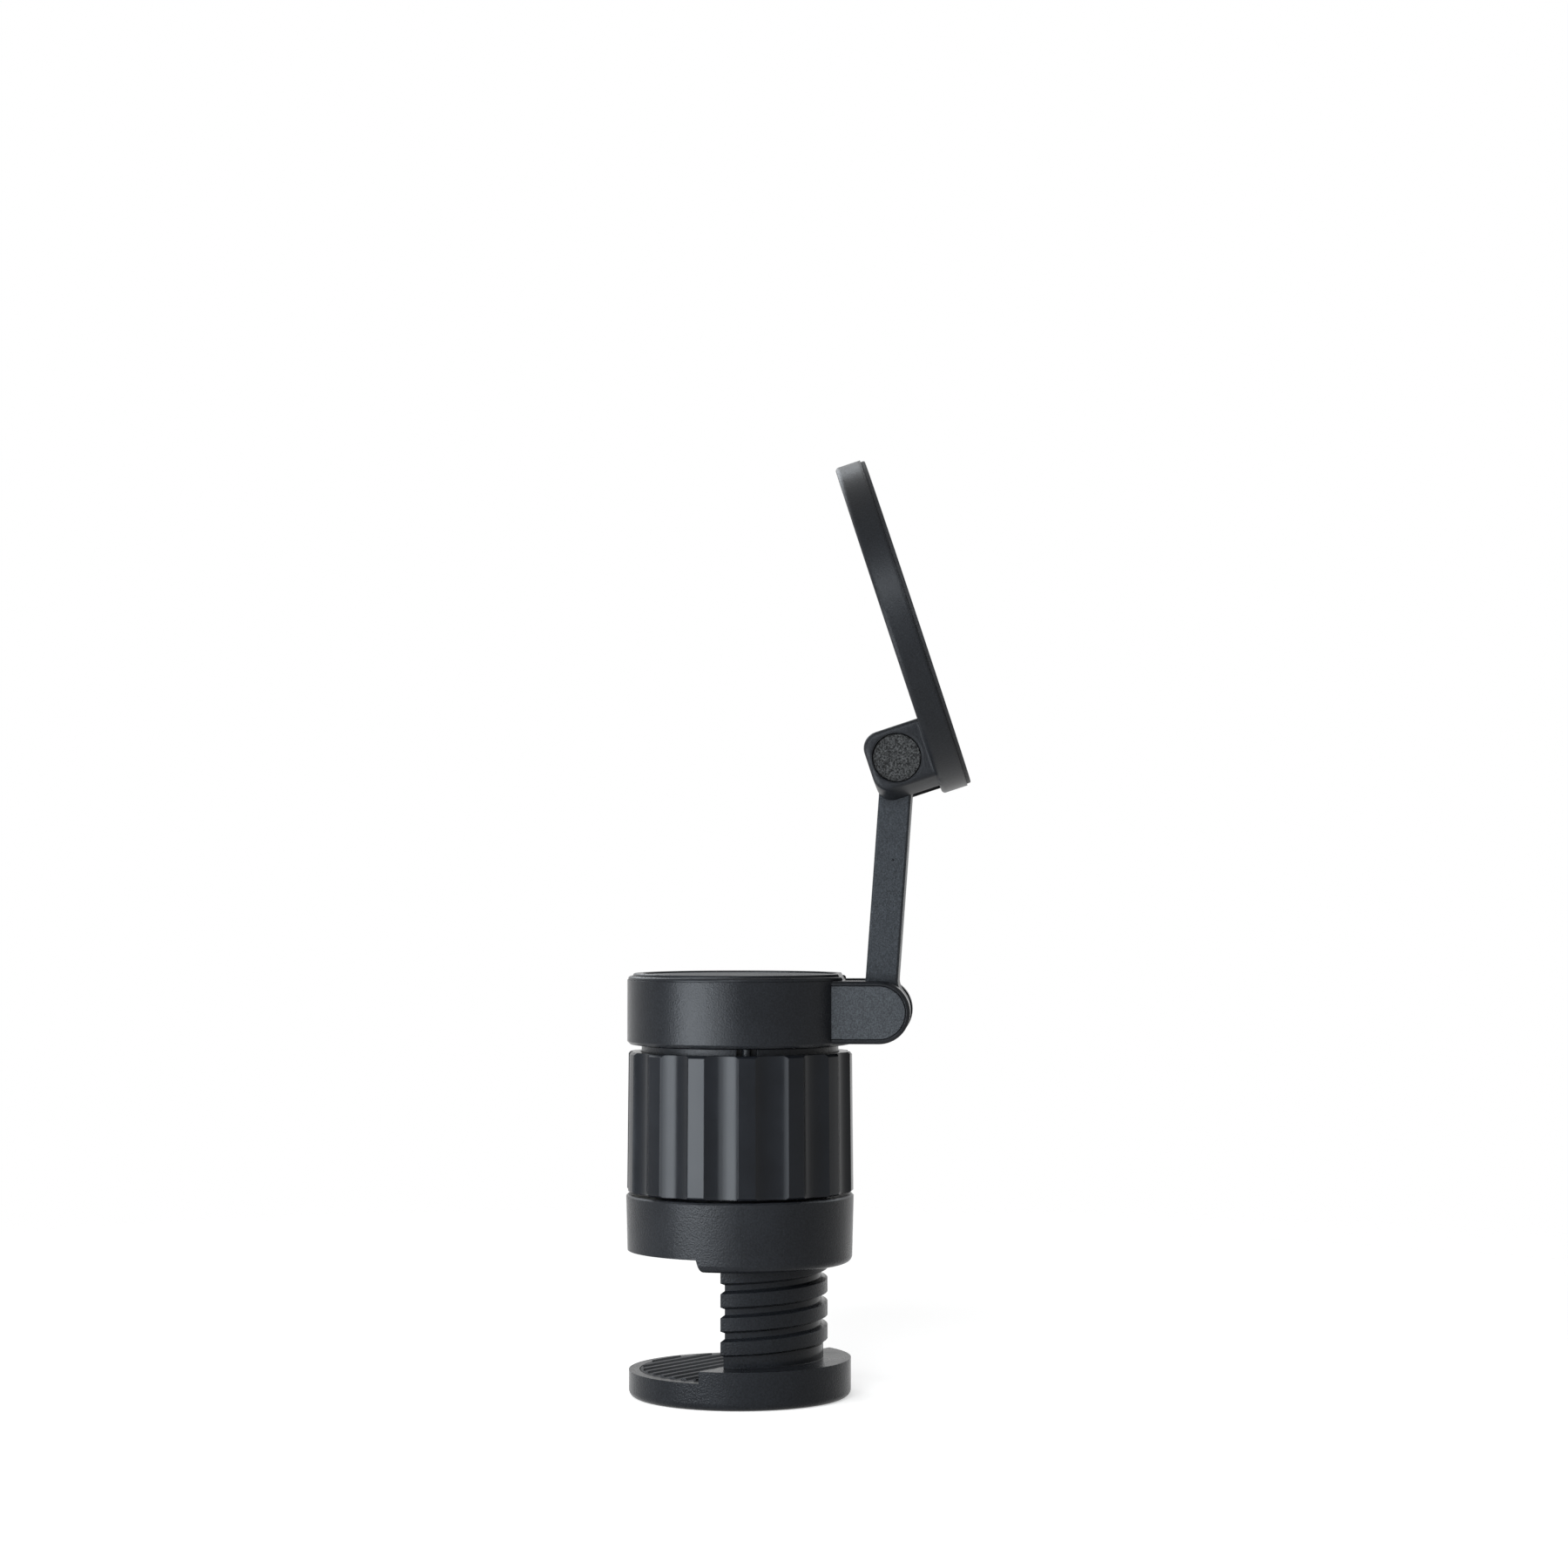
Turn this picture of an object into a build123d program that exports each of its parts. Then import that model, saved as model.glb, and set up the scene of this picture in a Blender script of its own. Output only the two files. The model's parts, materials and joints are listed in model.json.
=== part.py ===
from build123d import *
import math
import os

os.makedirs("parts", exist_ok=True)

# Phone holder that clamps to a desk edge. Sizes are in millimetres and degrees.
# The origin is on the clamp axis, in the face that presses on the desktop.
# +Z is up, +Y points into the desk, and the hinges lie on one side of the axis.

# Clearances
slide_gap = 0.25  # thread crests to the bore and window round them
thread_gap = 0.2  # flank to flank, and the flat of the column to its window
turn_gap = 0.3  # faces that turn past each other
knob_play = 0.45  # knob to the upper jaw under it
hinge_gap = 0.1  # arm to each ear
pin_gap = 0.05  # radial, round pins, screws and the swivel boss
inlay_gap = 0.15  # round plates and pads that lie in pockets
seat_gap = 0.05  # ends of pins, nuts and springs in their seats

# Jaws
upper_jaw_height = 9.05
upper_jaw_radius = 18.3
upper_jaw_draft = 0.28  # wider at the top than at the bottom
skirt_depth = 2.0
shoulder_y = -5.0
shoulder_draft = 0.6
lower_jaw_radius = 18.1
lower_jaw_thickness = 4.3
raised_height = 1.9
raised_y = -5.3
jaw_opening = 19.4
jaw_round = 1.15
edge_break = 0.3
pad_thickness = 1.0
pad_inset = 1.9  # from the rim and the shoulder of a jaw

# Threaded column
thread_pitch = 3.8
column_radius = 13.3
thread_depth = 1.0
crest_width = 2.1
root_width = 2.9
column_flat_y = -6.2
column_height = 39.5
neck_length = 2.4
neck_step = 0.3
first_ridge = 3.83  # height of the lowest ridge above the jaw, at the front
ridge_count = 10
ridge_span = 140
ridge_root = 0.4  # how far a ridge is rooted in its carrier

# Knob
knob_height = 22.7
knob_radius = 18.55
knob_draft = 0.2
flute_count = 14
flute_depth = 0.95
flute_width = 5.5
flute_phase = 28.76
knob_edge = 0.4
knob_ridge_turns = 2
knob_first_ridge = 1.53  # height of its lowest ridge above the knob's base, at the front
knob_ridge_tip = 0.7
knob_ridge_tip_gap = 0.25
collar_depth = 2.1

# Post inside the knob, and the plate screwed to it
post_wall = 2.2
post_floor = 3.0
post_gap = 0.35
neck_radius = 16.1
neck_show = 1.0  # height of neck seen between knob and hub
notch_angle = 222.2
notch_width = 3.3
notch_depth = 1.3
peg_radius = 0.7
peg_inset = 0.8
plate_screw_circle = 9.2
plate_screw_angle = -20
plate_screw_sweep_angle = 220
plate_screw_count = 3
plate_screw_radius = 1.2
plate_screw_head = 2.4
plate_screw_length = 8.0
screw_boss_radius = 2.6

# Hub and its swivel
hub_radius = 18.45
hub_lift = 0.2  # hub floor above the plate it turns on
hub_wall_height = 10.5
hub_wall = 2.7
hub_floor = 2.8
hub_chamfer = 0.5
cover_flange_height = 0.6
cover_flange_round = 0.45
cover_step = 0.15  # flange inside the hub's wall
crown_radius = 17.5
crown_height = 0.45  # crown above the flange
crown_round = 0.3
crown_groove = 0.2
crown_groove_depth = 0.3
cover_plug_depth = 1.6
cover_plug_wall = 2.4
inlay_radius = 15.8
inlay_thickness = 0.6
inlay_sink = 0.25  # top of the inlay under the crown
swivel_boss_radius = 6.0
spring_height = 0.8
spring_thickness = 0.3
spring_radius = 8.6
retainer_radius = 9.0
retainer_thickness = 1.0
swivel_screw_radius = 2.0
swivel_screw_head = 3.8
swivel_head_height = 2.2
swivel_screw_length = 7.5

# Hinges
lug_angle = -56.1
pivot_out = 23.0
pivot_drop = 5.05  # lower pivot under the top of the hub wall
ear_radius = 5.05
ear_thickness = 3.5
ear_bevel = 0.45
ear_root = 13.0
relief_lean = 31.1
ear_plate_radius = 4.23
ear_plate_thickness = 0.5
ear_plate_start = 15.4
arm_length = 40.96
arm_lean = 4.2
arm_width = 13.0
arm_thickness = 5.2
knuckle_radius = 4.8
knuckle_blend = 3.0
arm_bevel = 0.35
pin_radius = 2.0
pin_head_radius = 3.2
pin_head_height = 1.2
nut_radius = 3.4
nut_height = 1.5
washer_radius = 3.6
washer_thickness = 0.45
washer_sink = 0.4

# Disc
disc_radius = 28.0
disc_tilt = 18.2
shell_thickness = 4.3
front_pad_thickness = 0.7
front_pad_step = 0.3
front_pad_round = 0.25
disc_back_round = 0.6
pivot_below_centre = 20.6
pivot_behind_back = 5.1
block_half_width = 11.6
block_above = 5.0
block_behind = 4.7
block_rim_step = 0.4
block_top_round = 2.7
block_bottom_round = 2.5
block_side_round = 0.8
cap_radius = 3.8
cap_thickness = 0.9
cap_sink = 0.45
magnet_count = 16
magnet_width = 3.8
magnet_thickness = 2.0
magnet_rim = 1.4  # wall outside the magnets
magnet_split = 0.4
yoke_thickness = 0.5
shell_floor = 1.2

# Heights on the clamp axis
knob_base_z = upper_jaw_height + knob_play
knob_top_z = knob_base_z + knob_height
collar_z = knob_top_z - collar_depth
plate_z = collar_z + turn_gap
plate_top_z = knob_top_z + neck_show
hub_z = plate_top_z + hub_lift
hub_floor_z = hub_z + hub_floor
hub_top_z = hub_z + hub_wall_height
flange_z = hub_top_z + cover_flange_height
cover_top_z = flange_z + crown_height
inlay_z = cover_top_z - inlay_sink - inlay_thickness
retainer_z = hub_floor_z + spring_height + 2 * seat_gap
pivot_z = hub_top_z - pivot_drop
lower_face_z = -jaw_opening
lower_base_z = lower_face_z - lower_jaw_thickness
column_z = lower_face_z + raised_height
column_top_z = column_z + column_height

# Radii that follow from the thread
crest_radius = column_radius + thread_depth
bore_radius = crest_radius + slide_gap
window_flat_y = column_flat_y + thread_gap
post_flat_y = column_flat_y + turn_gap
ridge_tip_radius = column_radius + knob_ridge_tip_gap
post_radius = ridge_tip_radius - post_gap

# Directions: out runs from the axis to the hinges, across runs along the hinge pins.
lug_turn = math.radians(lug_angle)
out = Vector(math.cos(lug_turn), math.sin(lug_turn), 0)
across = Vector(-math.sin(lug_turn), math.cos(lug_turn), 0)
up = Vector(0, 0, 1)
lean_turn = math.radians(arm_lean)
arm_dir = out * math.sin(lean_turn) + up * math.cos(lean_turn)
tilt_turn = math.radians(disc_tilt)
disc_front = out * math.cos(tilt_turn) + up * math.sin(tilt_turn)
disc_up = up * math.cos(tilt_turn) - out * math.sin(tilt_turn)

lower_pivot = out * pivot_out + up * pivot_z
upper_pivot = lower_pivot + arm_dir * arm_length
disc_back = upper_pivot + disc_front * pivot_behind_back + disc_up * pivot_below_centre
side = Plane(origin=(0, 0, 0), x_dir=out, z_dir=across * -1)
slot_half = arm_width / 2 + hinge_gap
big = 4 * disc_radius


def disc_plane(height):
    """The disc's own plane, height in front of its back face, with Y up along the disc."""
    return Plane(origin=disc_back + disc_front * height, x_dir=across, z_dir=disc_front)


def hinge_plane(pivot, facing, sign, distance):
    """Plane square to a hinge pin, distance from its middle, that looks away from the arm."""
    return Plane(origin=pivot + across * (sign * distance), x_dir=facing, z_dir=across * sign)


def keep_front(flat_y):
    """Leaves of the sketch only what lies in front of flat_y."""
    with Locations((0, flat_y)):
        Rectangle(big, big, align=(Align.CENTER, Align.MIN), mode=Mode.SUBTRACT)


def keep_back(flat_y):
    """Leaves of the sketch only what lies behind flat_y."""
    with Locations((0, flat_y)):
        Rectangle(big, big, align=(Align.CENTER, Align.MAX), mode=Mode.SUBTRACT)


def cross_recess(plane, size, depth):
    """Cross-shaped driver recess in a screw head."""
    with BuildSketch(plane) as recess:
        Rectangle(size, size / 4)
        Rectangle(size / 4, size)
    extrude(recess.sketch, amount=-depth, mode=Mode.SUBTRACT)


def hinge_relief():
    """Room in the hub for the arm's knuckle, and for the arm when it leans over the hub."""
    with BuildSketch(side) as relief:
        with Locations((pivot_out, pivot_z)):
            Circle(ear_radius)
        with Locations(Location((pivot_out, pivot_z, 0), (0, 0, relief_lean))):
            Rectangle(arm_thickness, disc_radius, align=(Align.CENTER, Align.MIN))
    extrude(relief.sketch, amount=slot_half, both=True, mode=Mode.SUBTRACT)


def hinge_bores(pivot, facing, seat):
    """Bore for a hinge pin, with a seat for its head in the near side and for its nut in the far one."""
    with BuildSketch(hinge_plane(pivot, facing, 1, 0)) as bore:
        Circle(pin_radius + pin_gap)
    extrude(bore.sketch, amount=seat, both=True, mode=Mode.SUBTRACT)
    with BuildSketch(hinge_plane(pivot, facing, -1, seat)) as head:
        Circle(pin_head_radius + inlay_gap)
    extrude(head.sketch, amount=-(pin_head_height + 2 * seat_gap), mode=Mode.SUBTRACT)
    with BuildSketch(hinge_plane(pivot, facing, 1, seat)) as nut:
        RegularPolygon(nut_radius + inlay_gap, 6)
    extrude(nut.sketch, amount=-(nut_height + 2 * seat_gap), mode=Mode.SUBTRACT)


def save(piece, name):
    """Labels a finished piece and writes it."""
    piece.part.label = name
    export_step(piece.part, f"parts/{name}.step")


# Upper jaw: a short drum with a skirt in front of the desk edge, a window for the column
# and a hollow post that the knob turns round
with BuildPart() as upper_jaw:
    with BuildSketch(Plane.XZ):
        with BuildLine():
            Polyline(
                (0, -skirt_depth),
                (upper_jaw_radius, -skirt_depth),
                (upper_jaw_radius + upper_jaw_draft, upper_jaw_height),
                (0, upper_jaw_height),
                close=True,
            )
        make_face()
    revolve(axis=Axis.Z)
    rims = upper_jaw.edges().filter_by(GeomType.CIRCLE).sort_by(Axis.Z)
    fillet(rims[0], jaw_round)
    chamfer(upper_jaw.edges().filter_by(GeomType.CIRCLE).sort_by(Axis.Z)[-1], edge_break)
    with BuildSketch(Plane.YZ):
        with BuildLine():
            Polyline(
                (shoulder_y, 0),
                (big, 0),
                (big, -2 * skirt_depth),
                (shoulder_y - 2 * shoulder_draft, -2 * skirt_depth),
                close=True,
            )
        make_face()
    extrude(amount=big, both=True, mode=Mode.SUBTRACT)
    with BuildSketch(Plane.XY.offset(upper_jaw_height - edge_break)):
        Circle(post_radius)
        keep_back(post_flat_y)
    extrude(amount=plate_z - upper_jaw_height + edge_break)
    with BuildSketch(Plane.XY.offset(plate_z)):
        Circle(post_radius - post_wall)
        keep_back(post_flat_y + post_wall)
    extrude(amount=-(plate_z - post_floor - pad_thickness), mode=Mode.SUBTRACT)
    with BuildSketch(Plane.XY.offset(post_floor)):
        with PolarLocations(
            plate_screw_circle, plate_screw_count, plate_screw_angle, plate_screw_sweep_angle, endpoint=True
        ):
            Circle(screw_boss_radius)
    extrude(amount=plate_z - post_floor)
    with Locations((0, 0, plate_z)):
        with PolarLocations(
            plate_screw_circle, plate_screw_count, plate_screw_angle, plate_screw_sweep_angle, endpoint=True
        ):
            Hole(plate_screw_radius + pin_gap, depth=plate_screw_length)
    with BuildSketch(Plane.XY.offset(-2 * skirt_depth)):
        Circle(bore_radius)
        keep_front(window_flat_y)
    extrude(amount=upper_jaw_height + 2 * skirt_depth, mode=Mode.SUBTRACT)
    with BuildSketch(Plane.XY):
        Circle(upper_jaw_radius - pad_inset + inlay_gap)
        keep_back(shoulder_y + pad_inset - inlay_gap)
    extrude(amount=pad_thickness, mode=Mode.SUBTRACT)

with BuildPart() as upper_jaw_pad:
    with BuildSketch(Plane.XY):
        Circle(upper_jaw_radius - pad_inset)
        keep_back(shoulder_y + pad_inset)
    extrude(amount=pad_thickness)

# One ridge of the column's thread, from the +X side round the axis
with BuildPart() as column_ridge:
    with BuildLine() as ridge_path:
        Helix(thread_pitch, thread_pitch * ridge_span / 360, column_radius)
    with BuildSketch(Plane(origin=ridge_path.line @ 0, x_dir=(1, 0, 0), z_dir=ridge_path.line % 0)):
        with BuildLine():
            Polyline(
                (-ridge_root, root_width / 2),
                (0, root_width / 2),
                (thread_depth, crest_width / 2),
                (thread_depth, -crest_width / 2),
                (0, -root_width / 2),
                (-ridge_root, -root_width / 2),
                close=True,
            )
        make_face()
    sweep(path=ridge_path.line, is_frenet=True)

# Lower jaw: a flat drum with a raised front part, and the column with its ridges
with BuildPart() as lower_jaw:
    with BuildSketch(Plane.XY.offset(column_z)):
        Circle(column_radius)
    extrude(amount=column_height)
    with BuildSketch(Plane.XY.offset(column_z)):
        Circle(column_radius + neck_step)
    extrude(amount=neck_length)
    for ridge in range(ridge_count):
        front_z = column_z + first_ridge + ridge * thread_pitch
        start_z = front_z - thread_pitch * ridge_span / 2 / 360
        with Locations(Location((0, 0, start_z), (0, 0, 270 - ridge_span / 2))):
            add(column_ridge.part)
    with BuildSketch(Plane.XY.offset(column_z)):
        Circle(big)
        keep_back(column_flat_y)
    extrude(amount=2 * column_height, mode=Mode.SUBTRACT)
    with BuildSketch(Plane.XY.offset(column_top_z)):
        Circle(big)
    extrude(amount=column_height, mode=Mode.SUBTRACT)
    with BuildSketch(Plane.XY.offset(lower_base_z)):
        Circle(lower_jaw_radius)
    extrude(amount=lower_jaw_thickness + raised_height)
    fillet(lower_jaw.edges().filter_by(GeomType.CIRCLE).sort_by(Axis.Z)[0], jaw_round)
    with BuildSketch(Plane.XY.offset(lower_face_z)):
        Circle(big)
        keep_back(raised_y)
    extrude(amount=raised_height, mode=Mode.SUBTRACT)
    with BuildSketch(Plane.XY.offset(lower_face_z)):
        Circle(lower_jaw_radius - pad_inset + inlay_gap)
        keep_back(raised_y + pad_inset - inlay_gap)
    extrude(amount=-pad_thickness, mode=Mode.SUBTRACT)

with BuildPart() as lower_jaw_pad:
    with BuildSketch(Plane.XY.offset(lower_face_z)):
        Circle(lower_jaw_radius - pad_inset)
        keep_back(raised_y + pad_inset)
    extrude(amount=-pad_thickness)

# The ridge inside the knob, which runs in the column's grooves
ridge_reach = bore_radius - ridge_tip_radius
flank_slope = (root_width - crest_width) / 2 / thread_depth
ridge_base = knob_ridge_tip + 2 * flank_slope * ridge_reach
with BuildPart() as knob_ridge:
    with BuildLine() as knob_path:
        Helix(thread_pitch, thread_pitch * knob_ridge_turns, bore_radius)
    with BuildSketch(Plane(origin=knob_path.line @ 0, x_dir=(1, 0, 0), z_dir=knob_path.line % 0)):
        with BuildLine():
            Polyline(
                (ridge_root, ridge_base / 2),
                (0, ridge_base / 2),
                (-ridge_reach, knob_ridge_tip / 2),
                (-ridge_reach, -knob_ridge_tip / 2),
                (0, -ridge_base / 2),
                (ridge_root, -ridge_base / 2),
                close=True,
            )
        make_face()
    sweep(path=knob_path.line, is_frenet=True)

# Knob: a fluted sleeve with two turns of thread inside and a collar round the neck plate
flute_sag = flute_depth - knob_radius * (1 - math.cos(flute_width / 2 / knob_radius))
flute_radius = (flute_width**2 / 4 + flute_sag**2) / 2 / flute_sag
knob_slope = math.degrees(math.atan(knob_draft / knob_height))
with BuildPart() as knob:
    with BuildSketch(Plane.XZ):
        with BuildLine():
            Polyline(
                (bore_radius, knob_base_z),
                (knob_radius - edge_break, knob_base_z),
                (knob_radius, knob_base_z + edge_break),
                (knob_radius - knob_draft, knob_top_z - knob_edge),
                (knob_radius - knob_draft - knob_edge, knob_top_z),
                (neck_radius + thread_gap, knob_top_z),
                (neck_radius + thread_gap, collar_z),
                (bore_radius, collar_z),
                close=True,
            )
        make_face()
    revolve(axis=Axis.Z)
    with Locations((0, 0, knob_base_z + knob_height / 2)):
        with PolarLocations(
            knob_radius - knob_draft / 2 - flute_depth + flute_radius, flute_count, flute_phase
        ):
            Cylinder(
                flute_radius,
                2 * knob_height,
                rotation=(0, -knob_slope, 0),
                mode=Mode.SUBTRACT,
            )
    with Locations(Location((0, 0, knob_base_z + knob_first_ridge), (0, 0, 270))):
        add(knob_ridge.part)

# Neck plate: closes the post, carries the hub on a boss, and has a notch with a peg in its rim
with BuildPart() as swivel_plate:
    with BuildSketch(Plane.XY.offset(plate_z)):
        Circle(neck_radius)
        with PolarLocations(neck_radius, 1, notch_angle):
            Rectangle(2 * notch_depth, notch_width, mode=Mode.SUBTRACT)
        with PolarLocations(neck_radius - peg_inset, 1, notch_angle):
            Circle(peg_radius)
    extrude(amount=plate_top_z - plate_z)
    with BuildSketch(Plane.XY.offset(plate_z)):
        Circle(swivel_boss_radius)
    extrude(amount=retainer_z - plate_z)
    with Locations((0, 0, plate_top_z)):
        with PolarLocations(
            plate_screw_circle, plate_screw_count, plate_screw_angle, plate_screw_sweep_angle, endpoint=True
        ):
            CounterSinkHole(
                plate_screw_radius + pin_gap,
                plate_screw_head + pin_gap,
                counter_sink_angle=90,
            )
    with Locations((0, 0, retainer_z)):
        Hole(swivel_screw_radius + pin_gap, depth=retainer_z - plate_z)

with BuildPart() as plate_screws:
    with BuildSketch(Plane.XY.offset(plate_top_z)):
        with PolarLocations(
            plate_screw_circle, plate_screw_count, plate_screw_angle, plate_screw_sweep_angle, endpoint=True
        ):
            Circle(plate_screw_head - pin_gap)
    extrude(amount=-(plate_screw_head - pin_gap - plate_screw_radius), taper=45)
    with BuildSketch(Plane.XY.offset(plate_top_z - seat_gap)):
        with PolarLocations(
            plate_screw_circle, plate_screw_count, plate_screw_angle, plate_screw_sweep_angle, endpoint=True
        ):
            Circle(plate_screw_radius)
    extrude(amount=-plate_screw_length)

# Swivel stack: disc spring, retaining washer and screw
with BuildPart() as swivel_spring:
    with BuildSketch(Plane.XZ):
        with BuildLine():
            Polyline(
                (swivel_boss_radius + inlay_gap, hub_floor_z + seat_gap + spring_height - spring_thickness),
                (spring_radius, hub_floor_z + seat_gap),
                (spring_radius, hub_floor_z + seat_gap + spring_thickness),
                (swivel_boss_radius + inlay_gap, hub_floor_z + seat_gap + spring_height),
                close=True,
            )
        make_face()
    revolve(axis=Axis.Z)

with BuildPart() as swivel_retainer:
    with BuildSketch(Plane.XY.offset(retainer_z)):
        Circle(retainer_radius)
        Circle(swivel_screw_radius + pin_gap, mode=Mode.SUBTRACT)
    extrude(amount=retainer_thickness)

with BuildPart() as swivel_screw:
    with BuildSketch(Plane.XY.offset(retainer_z + retainer_thickness)):
        Circle(swivel_screw_head)
    extrude(amount=swivel_head_height)
    fillet(swivel_screw.edges().sort_by(Axis.Z)[-1], swivel_head_height / 2)
    with BuildSketch(Plane.XY.offset(retainer_z + retainer_thickness)):
        Circle(swivel_screw_radius)
    extrude(amount=-(swivel_screw_length - retainer_thickness))
    cross_recess(
        Plane.XY.offset(retainer_z + retainer_thickness + swivel_head_height),
        swivel_screw_head,
        swivel_head_height / 2,
    )

lower_seat = slot_half + ear_thickness - ear_plate_thickness
upper_seat = block_half_width - cap_sink - cap_thickness


def ear_outline(start, radius):
    """Outline of an ear, straight from start to the pivot and round beyond it."""
    with Locations((start - pivot_out, 0)):
        Rectangle(pivot_out - start, 2 * radius, align=(Align.MIN, Align.CENTER))
    Circle(radius)


def is_crease(edge):
    """True for an edge where the arm's bar runs into a knuckle."""
    along = (edge.center() - lower_pivot).dot(arm_dir)
    return knuckle_radius / 2 < along < arm_length - knuckle_radius / 2


# Hub: a round cup with two ears for the hinge
with BuildPart() as hub:
    with BuildSketch(Plane.XZ):
        with BuildLine():
            Polyline(
                (0, hub_z),
                (hub_radius - hub_chamfer, hub_z),
                (hub_radius, hub_z + hub_chamfer),
                (hub_radius, hub_top_z),
                (0, hub_top_z),
                close=True,
            )
        make_face()
    revolve(axis=Axis.Z)
    for sign in (-1, 1):
        inner_face = hinge_plane(lower_pivot, out, sign, slot_half)
        with BuildSketch(inner_face):
            ear_outline(ear_root, ear_radius)
        extrude(amount=ear_thickness - ear_bevel)
        with BuildSketch(inner_face.offset(ear_thickness - ear_bevel)):
            ear_outline(ear_root, ear_radius)
        extrude(amount=ear_bevel, taper=45)
    with BuildSketch(Plane.XY.offset(hub_floor_z)):
        Circle(hub_radius - hub_wall)
    extrude(amount=hub_top_z - hub_floor_z, mode=Mode.SUBTRACT)
    with Locations((0, 0, hub_floor_z)):
        Hole(swivel_boss_radius + pin_gap, depth=2 * hub_floor)
    hinge_relief()
    for sign in (-1, 1):
        outer_face = hinge_plane(lower_pivot, out, sign, slot_half + ear_thickness)
        with BuildSketch(outer_face):
            ear_outline(ear_root, ear_plate_radius + inlay_gap)
        extrude(amount=-ear_plate_thickness, mode=Mode.SUBTRACT)
    hinge_bores(lower_pivot, out, lower_seat)

# Hub cover: a lid with a rounded flange, a groove, a raised crown that holds an inlay,
# and a ring under it that centres it in the hub
plug_radius = hub_radius - hub_wall - inlay_gap
with BuildPart() as hub_cover:
    with BuildSketch(Plane.XY.offset(hub_top_z)):
        Circle(hub_radius - cover_step)
    extrude(amount=cover_flange_height)
    fillet(hub_cover.edges().sort_by(Axis.Z)[-1], cover_flange_round)
    with BuildSketch(Plane.XY.offset(flange_z)):
        Circle(crown_radius + crown_groove)
    extrude(amount=-crown_groove_depth, mode=Mode.SUBTRACT)
    with BuildSketch(Plane.XY.offset(flange_z - crown_groove_depth)):
        Circle(crown_radius)
    extrude(amount=crown_groove_depth + crown_height)
    fillet(hub_cover.edges().sort_by(Axis.Z)[-1], crown_round)
    with BuildSketch(Plane.XY.offset(inlay_z)):
        Circle(inlay_radius + inlay_gap)
    extrude(amount=inlay_sink + inlay_thickness, mode=Mode.SUBTRACT)
    with BuildSketch(Plane.XY.offset(hub_top_z)):
        Circle(plug_radius)
        Circle(plug_radius - cover_plug_wall, mode=Mode.SUBTRACT)
    extrude(amount=-cover_plug_depth)
    hinge_relief()

with BuildPart() as cover_inlay:
    with BuildSketch(Plane.XY.offset(inlay_z)):
        Circle(inlay_radius)
    extrude(amount=inlay_thickness)


def ear_plate(sign):
    """Stadium plate let into the outer face of an ear, straight where it meets the hub."""
    seat = hinge_plane(lower_pivot, out, sign, slot_half + ear_thickness - ear_plate_thickness)
    with BuildPart() as plate:
        with BuildSketch(seat):
            ear_outline(ear_plate_start, ear_plate_radius)
        extrude(amount=ear_plate_thickness)
    return plate


near_ear_plate = ear_plate(-1)
far_ear_plate = ear_plate(1)

# Arm: a flat bar with a round knuckle at each end
with BuildPart() as arm:
    bar_plane = Plane(origin=lower_pivot, x_dir=arm_dir, z_dir=across)
    with BuildSketch(bar_plane) as bar:
        with Locations((arm_length / 2, 0)):
            Rectangle(arm_length, arm_thickness)
        with Locations((0, 0), (arm_length, 0)):
            Circle(knuckle_radius)
    extrude(amount=arm_width / 2, both=True)
    creases = arm.edges().filter_by(Axis((0, 0, 0), across)).filter_by(is_crease)
    fillet(creases, knuckle_blend)
    chamfer(arm.faces().filter_by(GeomType.PLANE).sort_by(Axis(lower_pivot, across))[0].edges(), arm_bevel)
    chamfer(arm.faces().filter_by(GeomType.PLANE).sort_by(Axis(lower_pivot, across))[-1].edges(), arm_bevel)
    for pivot in (lower_pivot, upper_pivot):
        with BuildSketch(Plane(origin=pivot, x_dir=out, z_dir=across)):
            Circle(pin_radius + pin_gap)
        extrude(amount=arm_width, both=True, mode=Mode.SUBTRACT)
        for sign in (-1, 1):
            with BuildSketch(hinge_plane(pivot, out, sign, arm_width / 2)):
                Circle(washer_radius + inlay_gap)
            extrude(amount=-washer_sink, mode=Mode.SUBTRACT)


def hinge_washers(pivot):
    """The two friction washers that lie in the arm's sides at one hinge."""
    with BuildPart() as washers:
        for sign in (-1, 1):
            with BuildSketch(hinge_plane(pivot, out, sign, arm_width / 2 - washer_sink)):
                Circle(washer_radius)
                Circle(pin_radius + 2 * pin_gap, mode=Mode.SUBTRACT)
            extrude(amount=washer_thickness)
    return washers


def hinge_pin(pivot, seat):
    """Shouldered pin whose head lies under the near plate and whose end passes its nut."""
    with BuildPart() as pin:
        with BuildSketch(hinge_plane(pivot, out, -1, seat - seat_gap)):
            Circle(pin_head_radius)
        extrude(amount=-pin_head_height)
        with BuildSketch(hinge_plane(pivot, out, -1, seat - seat_gap - pin_head_height)):
            Circle(pin_radius)
        extrude(amount=-(2 * seat - 3 * seat_gap - pin_head_height))
        cross_recess(hinge_plane(pivot, out, -1, seat - seat_gap), pin_head_radius, pin_head_height / 2)
    return pin


def hinge_nut(pivot, facing, seat):
    """Hexagon nut in the far side of a hinge."""
    with BuildPart() as nut:
        with BuildSketch(hinge_plane(pivot, facing, 1, seat - seat_gap)):
            RegularPolygon(nut_radius, 6)
            Circle(pin_radius + pin_gap, mode=Mode.SUBTRACT)
        extrude(amount=-nut_height)
    return nut


lower_hinge_washers = hinge_washers(lower_pivot)
upper_hinge_washers = hinge_washers(upper_pivot)
lower_hinge_pin = hinge_pin(lower_pivot, lower_seat)
upper_hinge_pin = hinge_pin(upper_pivot, upper_seat)
lower_hinge_nut = hinge_nut(lower_pivot, out, lower_seat)
upper_hinge_nut = hinge_nut(upper_pivot, disc_front, upper_seat)

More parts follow.
